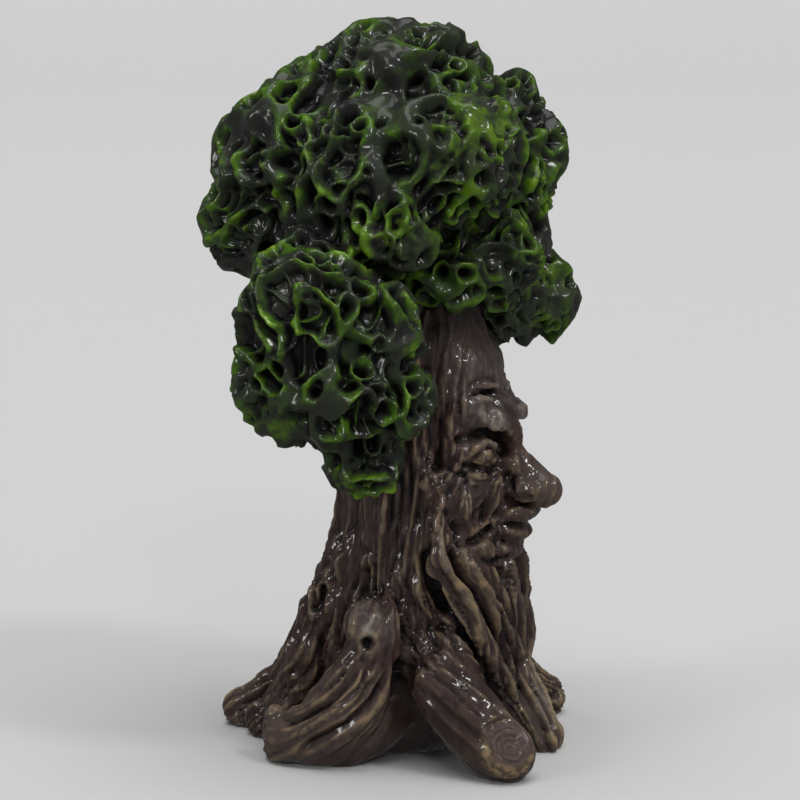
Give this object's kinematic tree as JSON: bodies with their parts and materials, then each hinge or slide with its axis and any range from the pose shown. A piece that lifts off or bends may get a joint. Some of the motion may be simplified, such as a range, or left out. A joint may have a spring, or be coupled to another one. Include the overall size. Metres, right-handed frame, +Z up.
{
  "type": "tree face sculpture",
  "caption": "Small painted casting of an old tree with a long-nosed bearded face on its trunk, spreading roots and foliage in rounded, pitted clumps.",
  "frame": {"origin": "centre of the bounding box's underside, on the floor", "axes": "+Z up along the trunk, the face looks towards -Y and the tree's own right side is towards -X"},
  "size_m": [0.0584, 0.0494, 0.0998],
  "materials": {
    "bark": "dark brown painted resin, ochre dry-brushed on the ridges, glossy varnish",
    "foliage": "near-black green in the pits, yellow-green on the ridges, glossy varnish"
  },
  "bodies": {
    "root": {"tree_face_sculpture": "bark"}
  },
  "joints": []
}
